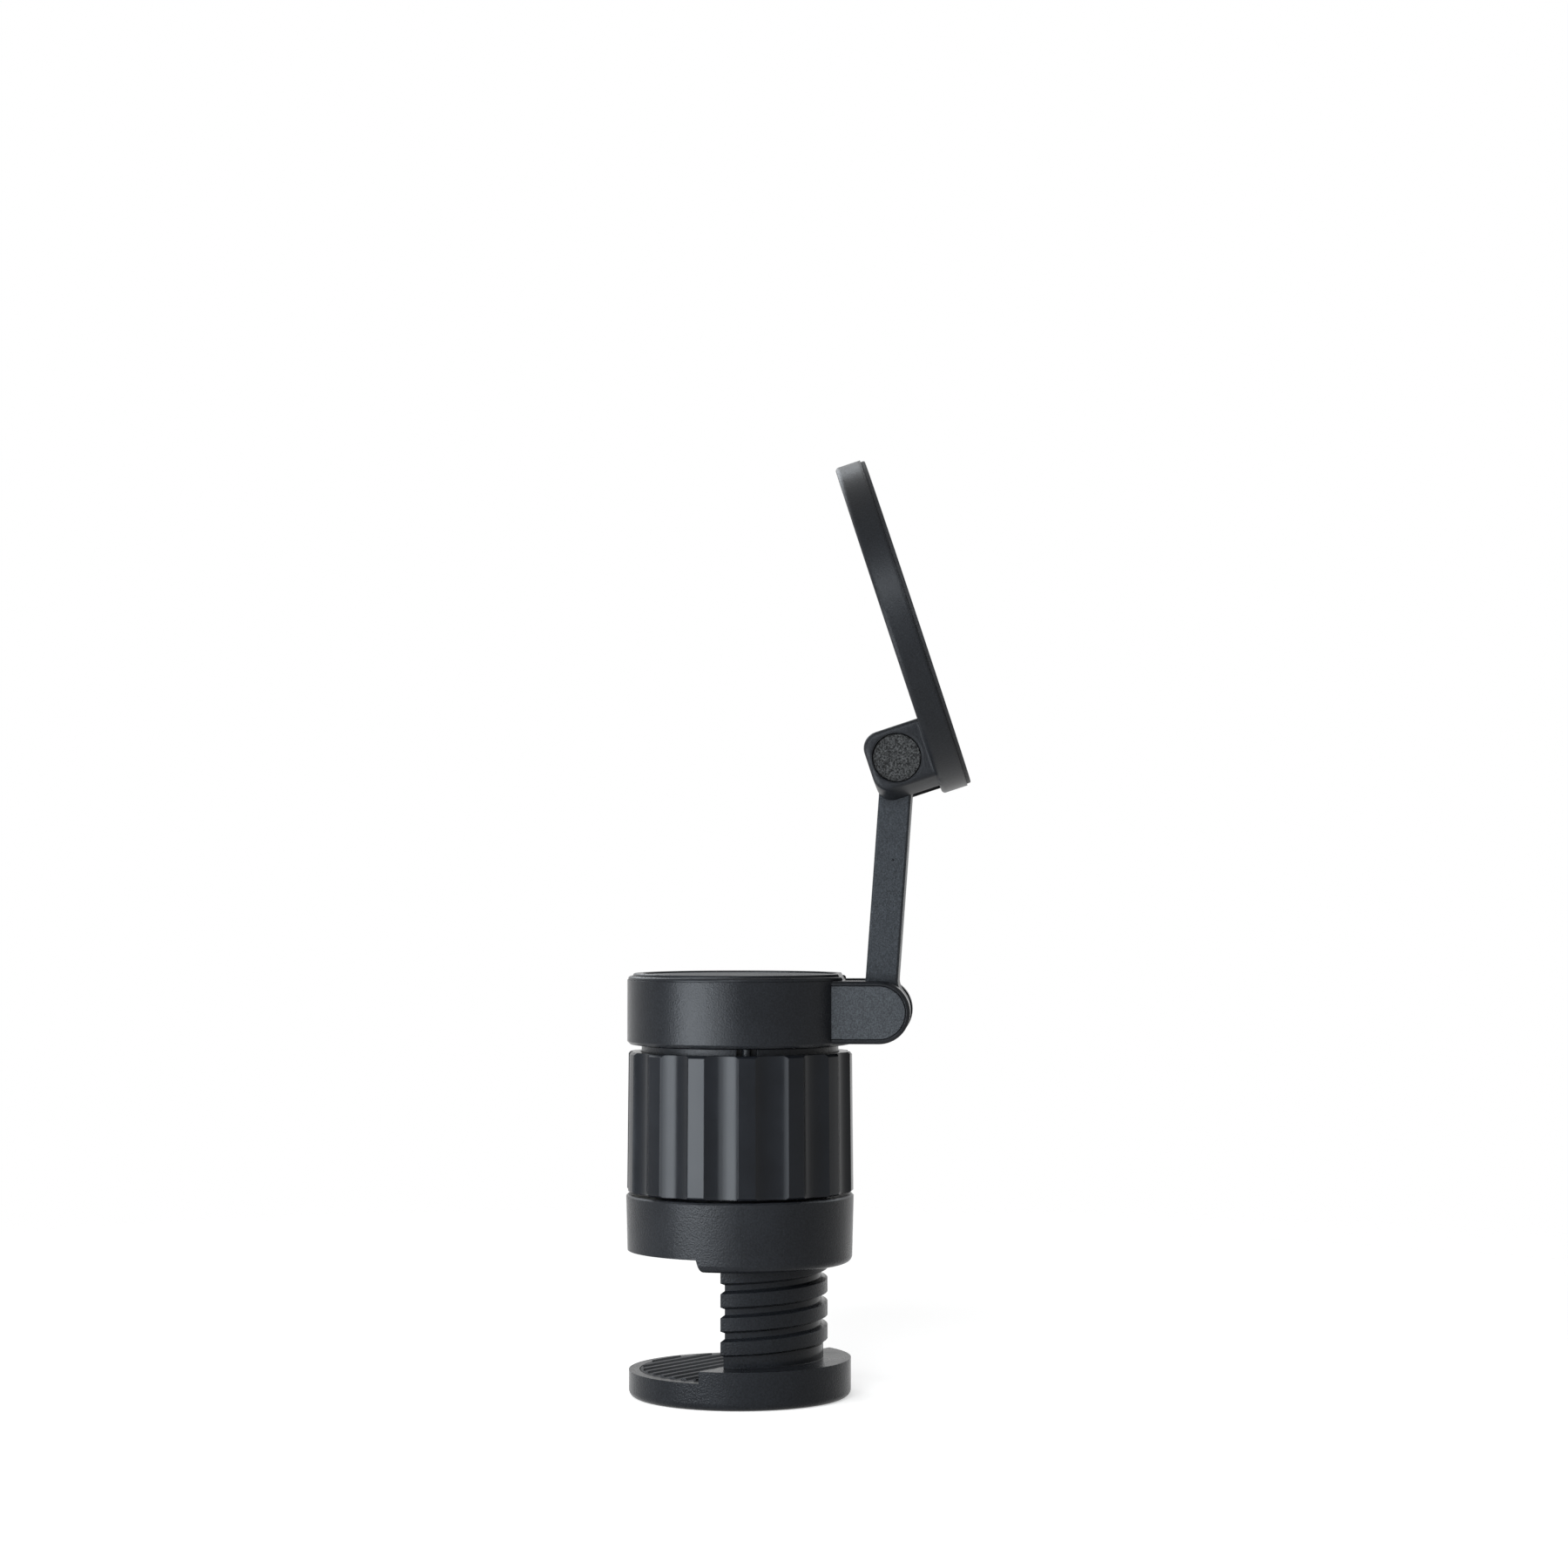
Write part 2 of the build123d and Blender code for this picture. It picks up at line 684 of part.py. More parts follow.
# Disc shell: a round tray with a channel for the magnets and a forked hinge block on its back
yoke_z = shell_floor
magnet_z = yoke_z + yoke_thickness
magnet_outer = disc_radius - magnet_rim
magnet_inner = magnet_outer - magnet_width
pin_plane = Plane(origin=upper_pivot, x_dir=disc_up, z_dir=across)

with BuildPart() as hinge_block:
    with BuildSketch(disc_plane(shell_thickness / 2)):
        Circle(disc_radius - block_rim_step)
        with Locations((0, block_above - pivot_below_centre)):
            Rectangle(2 * block_half_width, disc_radius, align=(Align.CENTER, Align.MAX), mode=Mode.INTERSECT)
    extrude(amount=-(shell_thickness / 2 + pivot_behind_back + block_behind))
    back_edges = hinge_block.faces().sort_by(Axis(disc_back, disc_front))[0].edges()
    fillet(back_edges.sort_by(Axis(disc_back, disc_up))[-1], block_top_round)
    back_edges = hinge_block.faces().sort_by(Axis(disc_back, disc_front))[0].edges()
    fillet(back_edges.sort_by(Axis(disc_back, disc_up))[0], block_bottom_round)
    for sign in (-1, 1):
        end_face = hinge_block.faces().filter_by(GeomType.PLANE).sort_by(Axis(disc_back, across * sign))[-1]
        front_edge = end_face.edges().sort_by(Axis(disc_back, disc_front))[-1]
        fillet([edge for edge in end_face.edges() if edge != front_edge], block_side_round)
    with BuildSketch(pin_plane):
        Rectangle(disc_radius, 2 * (pivot_behind_back + block_behind))
    extrude(amount=slot_half, both=True, mode=Mode.SUBTRACT)

with BuildPart() as disc_shell:
    with BuildSketch(disc_plane(0)):
        Circle(disc_radius)
    extrude(amount=shell_thickness)
    back_rim = disc_shell.edges().sort_by(Axis(disc_back, disc_front))[0]
    fillet(back_rim, disc_back_round)
    add(hinge_block.part)
    with BuildSketch(disc_plane(shell_thickness)):
        Circle(magnet_outer + inlay_gap)
        Circle(magnet_inner - inlay_gap, mode=Mode.SUBTRACT)
    extrude(amount=-(shell_thickness - shell_floor), mode=Mode.SUBTRACT)
    hinge_bores(upper_pivot, disc_front, upper_seat)
    for sign in (-1, 1):
        with BuildSketch(hinge_plane(upper_pivot, disc_front, sign, block_half_width)):
            Circle(cap_radius + inlay_gap)
        extrude(amount=-(cap_sink + cap_thickness), mode=Mode.SUBTRACT)

with BuildPart() as front_pad:
    with BuildSketch(disc_plane(shell_thickness)):
        Circle(disc_radius - front_pad_step)
    extrude(amount=front_pad_thickness)
    fillet(front_pad.edges().sort_by(Axis(disc_back, disc_front))[-1], front_pad_round)

with BuildPart() as magnet_yoke:
    with BuildSketch(disc_plane(yoke_z)):
        Circle(magnet_outer)
        Circle(magnet_inner, mode=Mode.SUBTRACT)
    extrude(amount=yoke_thickness)

with BuildPart() as magnet_ring:
    with BuildSketch(disc_plane(magnet_z)):
        Circle(magnet_outer)
        Circle(magnet_inner, mode=Mode.SUBTRACT)
        with PolarLocations(magnet_inner, magnet_count):
            Rectangle(3 * magnet_width, magnet_split, mode=Mode.SUBTRACT)
    extrude(amount=magnet_thickness)


def hinge_cap(sign):
    """Round cap let into an end of the hinge block."""
    with BuildPart() as cap:
        with BuildSketch(hinge_plane(upper_pivot, disc_front, sign, upper_seat)):
            Circle(cap_radius)
        extrude(amount=cap_thickness)
    return cap


near_hinge_cap = hinge_cap(-1)
far_hinge_cap = hinge_cap(1)

pieces = {
    "upper_jaw": upper_jaw,
    "upper_jaw_pad": upper_jaw_pad,
    "lower_jaw": lower_jaw,
    "lower_jaw_pad": lower_jaw_pad,
    "knob": knob,
    "swivel_plate": swivel_plate,
    "plate_screws": plate_screws,
    "swivel_spring": swivel_spring,
    "swivel_retainer": swivel_retainer,
    "swivel_screw": swivel_screw,
    "hub": hub,
    "hub_cover": hub_cover,
    "cover_inlay": cover_inlay,
    "near_ear_plate": near_ear_plate,
    "far_ear_plate": far_ear_plate,
    "lower_hinge_pin": lower_hinge_pin,
    "lower_hinge_nut": lower_hinge_nut,
    "lower_hinge_washers": lower_hinge_washers,
    "arm": arm,
    "upper_hinge_washers": upper_hinge_washers,
    "upper_hinge_pin": upper_hinge_pin,
    "upper_hinge_nut": upper_hinge_nut,
    "disc_shell": disc_shell,
    "front_pad": front_pad,
    "magnet_yoke": magnet_yoke,
    "magnet_ring": magnet_ring,
    "near_hinge_cap": near_hinge_cap,
    "far_hinge_cap": far_hinge_cap,
}
for name, piece in pieces.items():
    save(piece, name)
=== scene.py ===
import json
import math

import bmesh
import bpy
from mathutils import Matrix, Vector


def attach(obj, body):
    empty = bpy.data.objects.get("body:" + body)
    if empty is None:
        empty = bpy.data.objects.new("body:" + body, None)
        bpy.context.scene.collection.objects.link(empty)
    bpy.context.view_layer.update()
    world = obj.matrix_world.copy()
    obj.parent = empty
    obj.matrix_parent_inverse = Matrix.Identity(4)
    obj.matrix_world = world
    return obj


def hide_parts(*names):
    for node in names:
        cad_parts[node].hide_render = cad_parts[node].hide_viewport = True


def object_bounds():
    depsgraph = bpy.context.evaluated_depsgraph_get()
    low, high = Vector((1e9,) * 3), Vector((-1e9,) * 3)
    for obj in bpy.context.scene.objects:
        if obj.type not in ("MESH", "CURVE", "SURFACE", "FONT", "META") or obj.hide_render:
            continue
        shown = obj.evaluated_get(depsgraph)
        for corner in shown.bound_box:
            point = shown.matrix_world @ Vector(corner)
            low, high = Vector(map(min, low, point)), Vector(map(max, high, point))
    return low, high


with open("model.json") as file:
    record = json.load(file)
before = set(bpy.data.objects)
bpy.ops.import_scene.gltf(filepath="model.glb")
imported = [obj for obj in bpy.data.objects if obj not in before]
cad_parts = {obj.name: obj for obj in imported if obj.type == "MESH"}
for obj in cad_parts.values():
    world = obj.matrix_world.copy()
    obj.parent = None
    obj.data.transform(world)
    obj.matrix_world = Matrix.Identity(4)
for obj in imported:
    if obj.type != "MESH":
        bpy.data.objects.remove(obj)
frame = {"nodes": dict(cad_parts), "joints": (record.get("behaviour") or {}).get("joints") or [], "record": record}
cad_low, cad_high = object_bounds()
MM = 0.001

# Camera, as the photograph was taken: a pinhole in front of the desk edge, tipped up a little
camera_place = Vector((-0.4150, -0.3275, 0.0581))
camera_heading = Vector((0.7934, 0.6088, 0.0))
camera_pitch = math.radians(1.93)
camera_lens = 74.0
camera_sensor = 36.0

# Tones of the plastics and the hidden metal, linear
black = (0.0098, 0.0107, 0.0125)
knob_black = (0.0070, 0.0080, 0.0100)
grain_black = (0.0340, 0.0367, 0.0399)
arm_black = (0.0230, 0.0255, 0.0288)
cap_grey = (0.0152, 0.0152, 0.0149)
pad_black = (0.0300, 0.0300, 0.0315)
washer_white = (0.62, 0.62, 0.59)
nickel = (0.58, 0.58, 0.60)
zinc = (0.52, 0.53, 0.55)

# What the moulded plastics share
edge_radius = 0.18 * MM
cloud_size = 9 * MM
cloud_detail = 3.0
cloud_shade = 0.12  # the most by which the tone drifts
cloud_gloss = 0.03  # the most by which the roughness drifts
# Painted shade in the grain's hollows and painted highlight on its tips, as factors on the tone
painted_grain_shade_and_highlight = (0.75, 1.3)  # tone in the hollows and on the tips of the grain

# Sizes of the column that its parting lines follow, as in the solid
column_radius = 13.3 * MM
crest_radius = 14.3 * MM
neck_radius = 13.6 * MM
neck_top = -15.1 * MM
column_bottom = -17.5 * MM
column_top = 22.0 * MM
thread_pitch = 3.8 * MM
first_ridge_turn = 270  # the front of the column, in degrees
first_ridge = -13.67 * MM  # height of the lowest ridge there
crest_half = 1.05 * MM
root_half = 1.45 * MM


def link(tree, out_socket, in_socket):
    tree.links.new(out_socket, in_socket)


def new_material(name):
    """A material with an empty tree, and its shader and coordinates."""
    material = bpy.data.materials.new(name)
    material.use_nodes = True
    tree = material.node_tree
    tree.nodes.clear()
    shader = tree.nodes.new("ShaderNodeBsdfPrincipled")
    output = tree.nodes.new("ShaderNodeOutputMaterial")
    link(tree, shader.outputs["BSDF"], output.inputs["Surface"])
    place = tree.nodes.new("ShaderNodeTexCoord")
    return material, tree, shader, place.outputs["Object"]


def noise(tree, place, size, detail=2.0, roughness=0.5):
    """Noise whose features are about size metres across."""
    made = tree.nodes.new("ShaderNodeTexNoise")
    made.inputs["Scale"].default_value = 1.0 / size
    made.inputs["Detail"].default_value = detail
    made.inputs["Roughness"].default_value = roughness
    link(tree, place, made.inputs["Vector"])
    return made.outputs["Fac"]


def spread(tree, value, low, high, from_low=0.3, from_high=0.7):
    """Value mapped from its usual range to low and high."""
    made = tree.nodes.new("ShaderNodeMapRange")
    made.inputs["From Min"].default_value = from_low
    made.inputs["From Max"].default_value = from_high
    made.inputs["To Min"].default_value = low
    made.inputs["To Max"].default_value = high
    link(tree, value, made.inputs["Value"])
    return made.outputs["Result"]


def math_node(tree, operation, first, second=None):
    """A math node whose inputs are sockets or numbers."""
    made = tree.nodes.new("ShaderNodeMath")
    made.operation = operation
    for socket, value in zip(made.inputs, (first, second)):
        if value is None:
            continue
        if isinstance(value, (int, float)):
            socket.default_value = value
        else:
            link(tree, value, socket)
    return made.outputs["Value"]


def tint(tree, colour, shade):
    """Colour made darker or lighter by the factor in shade."""
    made = tree.nodes.new("ShaderNodeVectorMath")
    made.operation = "SCALE"
    made.inputs[0].default_value = colour
    link(tree, shade, made.inputs["Scale"])
    return made.outputs["Vector"]


def relief(tree, shader, height, depth, rounding=edge_radius):
    """Bump of that depth in metres on top of softly rounded edges."""
    rounded = tree.nodes.new("ShaderNodeBevel")
    rounded.samples = 4
    rounded.inputs["Radius"].default_value = rounding
    bump = tree.nodes.new("ShaderNodeBump")
    bump.inputs["Strength"].default_value = 1.0
    bump.inputs["Distance"].default_value = depth
    link(tree, height, bump.inputs["Height"])
    link(tree, rounded.outputs["Normal"], bump.inputs["Normal"])
    link(tree, bump.outputs["Normal"], shader.inputs["Normal"])


def moulded(name, colour, roughness, grain, specular):
    """Moulded plastic whose tone and gloss drift a little, with painted shade in its grain's hollows and a painted
    highlight on its tips, still without its grain's relief.
    """
    material, tree, shader, place = new_material(name)
    cloud = noise(tree, place, cloud_size, cloud_detail)
    fine = noise(tree, place, grain, 1.0)
    drift = spread(tree, cloud, 1 - cloud_shade, 1 + cloud_shade)
    # Random drift times the grain's painted shade in the hollows and painted highlight on the tips
    shade = math_node(tree, "MULTIPLY", drift, spread(tree, fine, *painted_grain_shade_and_highlight))
    link(tree, tint(tree, colour, shade), shader.inputs["Base Color"])
    gloss = spread(tree, cloud, roughness - cloud_gloss, roughness + cloud_gloss)
    link(tree, gloss, shader.inputs["Roughness"])
    shader.inputs["Specular IOR Level"].default_value = specular
    return material, tree, shader, place, gloss, fine


def spark_eroded(name, colour, roughness, grain, depth, specular, rounding=edge_radius):
    """Moulded plastic with an even eroded grain."""
    material, tree, shader, _, _, fine = moulded(name, colour, roughness, grain, specular)
    relief(tree, shader, fine, depth, rounding)
    return material


def jaw_plastic(name, colour, roughness, root_roughness, grain, depth, specular):
    """The lower jaw's plastic: grained on jaw and thread crests, smooth and glossier in the roots."""
    crest_margin = 0.4 * MM
    foot_margin = 0.1 * MM
    material, tree, shader, place, gloss, fine = moulded(name, colour, roughness, grain, specular)
    parts = tree.nodes.new("ShaderNodeSeparateXYZ")
    link(tree, place, parts.inputs["Vector"])
    squares = [math_node(tree, "POWER", parts.outputs[axis], 2.0) for axis in ("X", "Y")]
    radius = math_node(tree, "SQRT", math_node(tree, "ADD", *squares))
    inside = math_node(tree, "LESS_THAN", radius, crest_radius - crest_margin)
    above = math_node(tree, "GREATER_THAN", parts.outputs["Z"], column_bottom + foot_margin)
    root = math_node(tree, "MULTIPLY", inside, above)
    polish = math_node(tree, "MULTIPLY", root, root_roughness - roughness)
    link(tree, math_node(tree, "ADD", polish, gloss), shader.inputs["Roughness"])
    grained = math_node(tree, "SUBTRACT", 1.0, root)
    relief(tree, shader, math_node(tree, "MULTIPLY", fine, grained), depth)
    return material


def granular(name, colour, roughness, grit, depth, specular, hollow_painted_shade=0.75, tip_painted_highlight=1.5):
    """Sandy surface, with a painted highlight on its grains and painted shade between them."""
    clump_size = 3.0 * grit
    clump_share = 0.25
    hollow_level, tip_level = 0.50, 0.80
    material, tree, shader, place = new_material(name)
    grains = noise(tree, place, grit, 1.5, 0.6)
    clumps = noise(tree, place, clump_size, 1.0)
    height = math_node(tree, "ADD", grains, math_node(tree, "MULTIPLY", clumps, clump_share))
    # Painted shade in the hollows and painted highlight on the grain tips, from the height that also drives the
    # bump
    shade = spread(tree, height, hollow_painted_shade, tip_painted_highlight, hollow_level, tip_level)
    link(tree, tint(tree, colour, shade), shader.inputs["Base Color"])
    shader.inputs["Roughness"].default_value = roughness
    shader.inputs["Specular IOR Level"].default_value = specular
    relief(tree, shader, height, depth)
    return material


def satin(name, colour, roughness, specular):
    """Polished moulding with faint waviness and a soft cloud in its gloss."""
    wave_depth = 0.006 * MM
    fine_share = 0.15
    material, tree, shader, place = new_material(name)
    wave = noise(tree, place, 1.6 * MM)
    cloud = noise(tree, place, 6 * MM, cloud_detail)
    fine = noise(tree, place, 0.25 * MM)
    link(tree, tint(tree, colour, spread(tree, cloud, 0.85, 1.15)), shader.inputs["Base Color"])
    link(tree, spread(tree, cloud, roughness - 0.04, roughness + 0.05), shader.inputs["Roughness"])
    shader.inputs["Specular IOR Level"].default_value = specular
    height = math_node(tree, "ADD", wave, math_node(tree, "MULTIPLY", fine, fine_share))
    relief(tree, shader, height, wave_depth)
    return material


def metal(name, colour, roughness, scratch):
    """Plated steel with fine turning marks."""
    mark_depth = 0.004 * MM
    metal_edge = 0.1 * MM
    material, tree, shader, place = new_material(name)
    marks = noise(tree, place, scratch, 4.0, 0.7)
    link(tree, tint(tree, colour, spread(tree, marks, 0.9, 1.05)), shader.inputs["Base Color"])
    link(tree, spread(tree, marks, roughness - 0.06, roughness + 0.08), shader.inputs["Roughness"])
    shader.inputs["Metallic"].default_value = 1.0
    relief(tree, shader, marks, mark_depth, metal_edge)
    return material


# One finish for each material slot
finishes = {
    "body": spark_eroded("jaw_plastic", black, 0.28, 0.28 * MM, 0.050 * MM, 0.12),
    "jaw": jaw_plastic("column_plastic", black, 0.28, 0.20, 0.28 * MM, 0.050 * MM, 0.10),
    "knob": satin("knob_plastic", knob_black, 0.20, 0.135),
    "hub": spark_eroded("hub_plastic", black, 0.25, 0.26 * MM, 0.042 * MM, 0.13),
    "cover": spark_eroded("cover_plastic", black, 0.28, 0.18 * MM, 0.012 * MM, 0.14),
    "inlay": granular("inlay_plastic", grain_black, 0.52, 0.24 * MM, 0.050 * MM, 0.13),
    "arm": granular("arm_plastic", arm_black, 0.40, 0.26 * MM, 0.055 * MM, 0.12),
    "disc": spark_eroded("disc_plastic", black, 0.36, 0.22 * MM, 0.028 * MM, 0.15, rounding=0.7 * MM),
    "front_pad": spark_eroded("pad_silicone", pad_black, 0.60, 0.20 * MM, 0.012 * MM, 0.16),
    # The cap's grain has the strongest painted shade in its hollows and painted highlight on its tips
    "cap": granular("cap_insert", cap_grey, 0.50, 0.27 * MM, 0.12 * MM, 0.12, hollow_painted_shade=0.05, tip_painted_highlight=4.2),
    "grip": spark_eroded("grip_silicone", pad_black, 0.60, 0.20 * MM, 0.012 * MM, 0.16),
    "washer": satin("washer_plastic", washer_white, 0.35, 0.5),
    "magnet": metal("nickel_plating", nickel, 0.24, 0.6 * MM),
    "steel": metal("zinc_plating", zinc, 0.32, 0.35 * MM),
}
for part in frame["record"]["subparts"]:
    solid = frame["nodes"][part["node"]]
    solid.data.materials.clear()
    solid.data.materials.append(finishes[part["material_slot"]])


def finish_piece(piece, body, slot, material=None):
    """Gives a piece its material, the finish of its slot unless one is given, and attaches it to its body."""
    piece.data.materials.append(material or finishes[slot])
    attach(piece, body)
    return piece


def mesh_piece(name, shape):
    """An object made of a bmesh, shaded smooth with its sharp edges kept."""
    bmesh.ops.recalc_face_normals(shape, faces=shape.faces)
    mesh = bpy.data.meshes.new(name)
    shape.to_mesh(mesh)
    shape.free()
    piece = bpy.data.objects.new(name, mesh)
    bpy.context.scene.collection.objects.link(piece)
    for face in mesh.polygons:
        face.use_smooth = True
    mesh.set_sharp_from_angle(angle=math.radians(35))
    return piece


def skin_rows(shape, rows):
    """Faces between rows of vertices, each row a ring, and one across the first and the last."""
    for low, high in zip(rows, rows[1:]):
        for index in range(len(low)):
            after = (index + 1) % len(low)
            shape.faces.new((low[index], low[after], high[after], high[index]))
    shape.faces.new(rows[0])
    shape.faces.new(rows[-1])


def column_surface(height, turn):
    """Radius of the column at that height and angle in degrees."""
    if height < neck_top and height < first_ridge - root_half:
        return neck_radius
    centre = first_ridge + thread_pitch * (turn - first_ridge_turn) / 360
    offset = abs((height - centre + thread_pitch / 2) % thread_pitch - thread_pitch / 2)
    if offset > root_half or height < centre - root_half:
        return column_radius if height > neck_top else neck_radius
    rise = min(1.0, (root_half - offset) / (root_half - crest_half))
    return max(column_radius + rise * (crest_radius - column_radius), column_radius)


def parting_line(name, turn):
    """A fine raised seam down the column, where the two halves of its mould met."""
    half_width = 0.05 * MM
    proud = 0.025 * MM
    step = 0.1 * MM
    direction = Vector((math.cos(math.radians(turn)), math.sin(math.radians(turn)), 0))
    sideways = Vector((-direction.y, direction.x, 0))
    shape = bmesh.new()
    rows = []
    for index in range(int((column_top - column_bottom - 2 * step) / step)):
        height = column_bottom + step + index * step
        centre = direction * column_surface(height, turn) + Vector((0, 0, height))
        corners = (
            centre - sideways * half_width - direction * half_width,
            centre + direction * proud,
            centre + sideways * half_width - direction * half_width,
        )
        rows.append([shape.verts.new(corner) for corner in corners])
    skin_rows(shape, rows)
    finish_piece(mesh_piece(name, shape), "lower_jaw", "jaw")


parting_turns = (240.7, 299.3)  # degrees, one on each side of the column's front
for index, turn in enumerate(parting_turns):
    parting_line(f"column_parting_line_{index + 1}", turn)

# Straight ribs on the grip pads, across the jaws' opening
rib_pitch = 2.4 * MM
rib_foot = 1.3 * MM
rib_height = 0.3 * MM
rib_sink = 0.05 * MM
rib_taper = 0.6
rib_inset = 0.96
rib_count = 9


def keep_one_side(shape, place, facing):
    """Cuts off what lies beyond a plane."""
    everything = shape.verts[:] + shape.edges[:] + shape.faces[:]
    bmesh.ops.bisect_plane(
        shape, geom=everything, plane_co=place, plane_no=facing, clear_outer=True
    )


def grip_ribs(name, node, body, out):
    """Ribs on the pad's free face, inside its outline. out is 1 where the face looks up, and -1 down."""
    pad = bmesh.new()
    pad.from_mesh(frame["nodes"][node].data)
    level = max(vert.co.z * out for vert in pad.verts) * out
    away = [face for face in pad.faces if abs(face.calc_center_median().z - level) > rib_sink]
    bmesh.ops.delete(pad, geom=away, context="FACES")
    sides = [vert.co.y for vert in pad.verts]
    middle = (max(sides) + min(sides)) / 2
    for vert in pad.verts:
        vert.co.x *= rib_inset
        vert.co.y = middle + (vert.co.y - middle) * rib_inset
    ribs = bmesh.new()
    for step in range(rib_count):
        across = middle + (step - (rib_count - 1) / 2) * rib_pitch
        rib = pad.copy()
        keep_one_side(rib, (0, across + rib_foot / 2, 0), (0, 1, 0))
        keep_one_side(rib, (0, across - rib_foot / 2, 0), (0, -1, 0))
        if rib.faces:
            for vert in rib.verts:
                vert.co.z = level - out * rib_sink
            lifted = bmesh.ops.extrude_face_region(rib, geom=rib.faces[:], use_keep_orig=True)
            for vert in (item for item in lifted["geom"] if isinstance(item, bmesh.types.BMVert)):
                vert.co.z = level + out * rib_height
                vert.co.y = across + (vert.co.y - across) * rib_taper
            made = bpy.data.meshes.new("rib")
            rib.to_mesh(made)
            ribs.from_mesh(made)
            bpy.data.meshes.remove(made)
        rib.free()
    pad.free()
    finish_piece(mesh_piece(name, ribs), body, "grip")


grip_ribs("upper_grip_ribs", "upper_jaw_pad", "root", -1)
grip_ribs("lower_grip_ribs", "lower_jaw_pad", "lower_jaw", 1)

# Pivots and the line of their pins, from the joints
joints = {joint["name"]: joint for joint in frame["joints"]}
lower_pivot = Vector(joints["arm_fold"]["pos_m"])
upper_pivot = Vector(joints["disc_tilt"]["pos_m"])
pin_line = Vector(joints["disc_tilt"]["axis"]).normalized()
up = Vector((0, 0, 1))
disc_lean = math.radians(18.2)
disc_front = pin_line.cross(up) * math.cos(disc_lean) + up * math.sin(disc_lean)

# Soft front pad, turned: a flat disc with a rounded rim and two shallow rings pressed into its face
ring_places = (0.90, 0.74)  # of the pad's radius
ring_half_width = 0.5 * MM
ring_depth = 0.25 * MM
pad_round = 0.25 * MM
pad_round_steps = 4
pad_segments = 160


def grooved_pad():
    """The front pad with its pressed rings, in the place of the plain solid."""
    third = disc_front.cross(pin_line)
    corners = [vert.co for vert in frame["nodes"]["front_pad"].data.vertices]
    axes = (pin_line, third, disc_front)
    lows = [min(corner.dot(axis) for corner in corners) for axis in axes]
    highs = [max(corner.dot(axis) for corner in corners) for axis in axes]
    radius = (highs[0] - lows[0]) / 2
    thickness = highs[2] - lows[2]
    base = pin_line * (lows[0] + radius) + third * (lows[1] + highs[1]) / 2 + disc_front * lows[2]
    profile = [(radius - pad_round, 0.0), (radius, 0.0)]
    for step in range(pad_round_steps + 1):
        turn = math.pi / 2 * step / pad_round_steps
        side = radius - pad_round + pad_round * math.cos(turn)
        profile.append((side, thickness - pad_round + pad_round * math.sin(turn)))
    for ring_place in ring_places:
        middle = ring_place * radius
        profile += [
            (middle + ring_half_width, thickness),
            (middle + ring_half_width / 2, thickness - ring_depth),
            (middle - ring_half_width / 2, thickness - ring_depth),
            (middle - ring_half_width, thickness),
        ]
    shape = bmesh.new()
    rows = []
    for side, height in profile:
        row = []
        for segment in range(pad_segments):
            turn = 2 * math.pi * segment / pad_segments
            outward = pin_line * math.cos(turn) + third * math.sin(turn)
            row.append(shape.verts.new(base + outward * side + disc_front * height))
        rows.append(row)
    skin_rows(shape, rows)
    piece = finish_piece(mesh_piece("grooved_front_pad", shape), "disc", "front_pad")
    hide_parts("front_pad")


grooved_pad()

# Small round mark of the mould's gate on the near face of the arm
gate_radius = 0.22 * MM
gate_tip = 0.8  # of its radius
gate_proud = 0.012 * MM
gate_along = 24.6 * MM
gate_aside = 0.45 * MM
arm_half_width = 6.5 * MM
along_arm = (upper_pivot - lower_pivot).normalized()
across_arm = pin_line.cross(along_arm).normalized()
gate_place = lower_pivot + along_arm * gate_along + across_arm * gate_aside - pin_line * arm_half_width
gate_facing = (-pin_line).to_track_quat("Z", "Y").to_matrix().to_4x4()
mark = bmesh.new()
bmesh.ops.create_cone(
    mark,
    cap_ends=True,
    segments=24,
    radius1=gate_radius,
    radius2=gate_tip * gate_radius,
    depth=2 * gate_proud,
    matrix=Matrix.Translation(gate_place) @ gate_facing,
)
gate_plastic = satin("gate_plastic", knob_black, 0.35, 0.15)
finish_piece(mesh_piece("arm_gate_mark", mark), "arm", "arm", gate_plastic)

# Floor and world, both white to the camera and in reflections. The floor keeps the shadow near the object,
# and stays under the foot however far the jaw is screwed out
floor_size = 3.0
floor_drop = 0.05 * MM
floor_near = 0.11
floor_far = 0.32
floor_white = (0.95, 0.90, 0.85, 1)  # neutral under the cool lamps
floor_glow = 0.55
floor_roughness = 0.9
white = (1, 1, 1, 1)
ambient = 0.08


def seen_directly(tree):
    """One for camera, glossy and transmission rays, and zero for the rest."""
    rays = tree.nodes.new("ShaderNodeLightPath")
    first = math_node(tree, "MAXIMUM", rays.outputs["Is Camera Ray"], rays.outputs["Is Glossy Ray"])
    return math_node(tree, "MAXIMUM", first, rays.outputs["Is Transmission Ray"])


bpy.ops.mesh.primitive_plane_add(size=floor_size, location=(0, 0, cad_low.z - floor_drop))
floor = bpy.context.object
floor.name = "floor"
floor_material, floor_tree, floor_shader, floor_place = new_material("floor_white")
floor_shader.inputs["Base Color"].default_value = floor_white
floor_shader.inputs["Roughness"].default_value = floor_roughness
floor_shader.inputs["Specular IOR Level"].default_value = 0.0
floor_shader.inputs["Emission Color"].default_value = white
glow = math_node(floor_tree, "MULTIPLY", seen_directly(floor_tree), floor_glow)
link(floor_tree, glow, floor_shader.inputs["Emission Strength"])
reach = floor_tree.nodes.new("ShaderNodeVectorMath")
reach.operation = "LENGTH"
link(floor_tree, floor_place, reach.inputs[0])
fade = spread(floor_tree, reach.outputs["Value"], 0.0, 1.0, floor_near, floor_far)
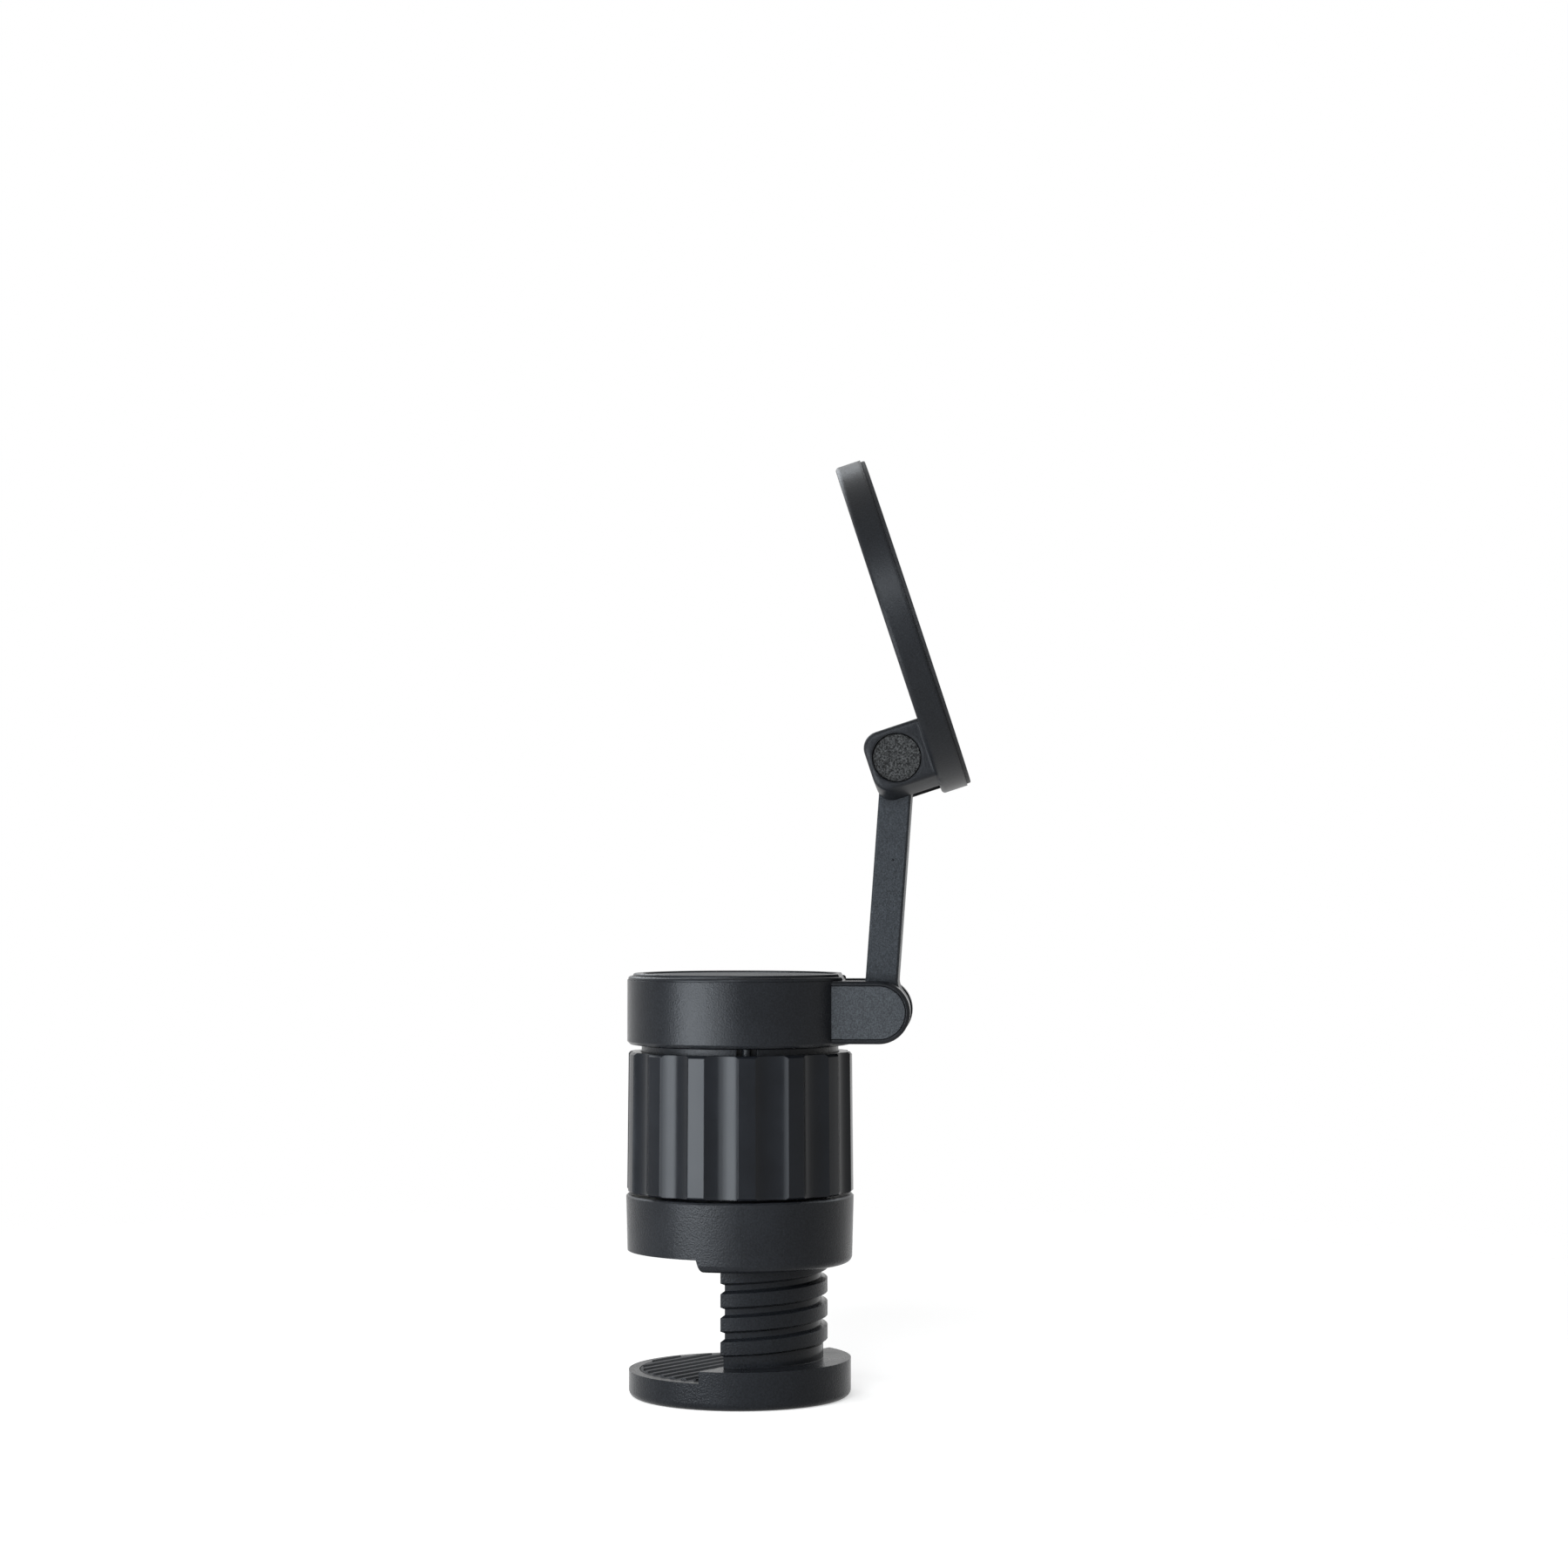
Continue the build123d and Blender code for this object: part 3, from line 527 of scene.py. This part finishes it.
clear = floor_tree.nodes.new("ShaderNodeBsdfTransparent")
melt = floor_tree.nodes.new("ShaderNodeMixShader")
link(floor_tree, fade, melt.inputs["Fac"])
link(floor_tree, floor_shader.outputs["BSDF"], melt.inputs[1])
link(floor_tree, clear.outputs["BSDF"], melt.inputs[2])
floor_output = next(node for node in floor_tree.nodes if node.type == "OUTPUT_MATERIAL")
link(floor_tree, melt.outputs["Shader"], floor_output.inputs["Surface"])
floor.data.materials.append(floor_material)
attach(floor, "lower_jaw")

world = bpy.data.worlds.new("studio")
bpy.context.scene.world = world
world.use_nodes = True
sky = world.node_tree
sky.nodes.clear()
background = sky.nodes.new("ShaderNodeBackground")
background.inputs["Color"].default_value = white
sky_strength = spread(sky, seen_directly(sky), ambient, 1.0, 0.0, 1.0)
link(sky, sky_strength, background.inputs["Strength"])
sky_output = sky.nodes.new("ShaderNodeOutputWorld")
link(sky, background.outputs["Background"], sky_output.inputs["Surface"])

camera_data = bpy.data.cameras.new("camera")
camera_data.lens = camera_lens
camera_data.sensor_width = camera_sensor
camera = bpy.data.objects.new("camera", camera_data)
bpy.context.scene.collection.objects.link(camera)
camera.location = camera_place
view_line = camera_heading.normalized() * math.cos(camera_pitch) + up * math.sin(camera_pitch)
camera.rotation_euler = view_line.to_track_quat("-Z", "Y").to_euler()
bpy.context.scene.camera = camera

lamp_target = Vector((0.0, -0.005, 0.045))
lamp_colour = (0.93, 1.0, 1.07)


def softbox(name, turn, lift, distance, width, height, radiance):
    """Area lamp aimed at the object, turned in degrees to the right from the camera, and lifted."""
    toward = -camera_heading.normalized()
    flat = Matrix.Rotation(math.radians(turn), 3, "Z") @ toward
    lifted = flat * math.cos(math.radians(lift)) + up * math.sin(math.radians(lift))
    lamp_data = bpy.data.lights.new(name, "AREA")
    lamp_data.shape = "RECTANGLE"
    lamp_data.size = width
    lamp_data.size_y = height
    lamp_data.energy = radiance * math.pi * width * height
    lamp_data.color = lamp_colour
    lamp = bpy.data.objects.new(name, lamp_data)
    bpy.context.scene.collection.objects.link(lamp)
    lamp.location = lamp_target + lifted * distance
    lamp.rotation_euler = (-lifted).to_track_quat("-Z", "Y").to_euler()


# Strips low beside the object, the narrow ones in front: turn, width and radiance
strips = ((-47, 0.095, 4.6), (-44, 0.16, 4.4), (-39, 0.245, 4.4))
strip_lift = -5.7
strip_distance = 0.20
strip_spacing = 0.009
strip_height = 0.093
for step, (turn, width, radiance) in enumerate(strips):
    distance = strip_distance + strip_spacing * step
    softbox(f"key_strip_{step + 1}", turn, strip_lift, distance, width, strip_height, radiance)
softbox("key_panel", -46, 24, 0.60, 0.50, 0.30, 0.4)
softbox("key_top", -12, 27, 0.50, 0.20, 0.18, 9.5)
softbox("back_left", -150, 34, 0.80, 0.50, 0.40, 3.0)
softbox("back_right", 128, 30, 0.80, 0.40, 0.40, 2.5)

bpy.context.scene.view_settings.view_transform = "Standard"
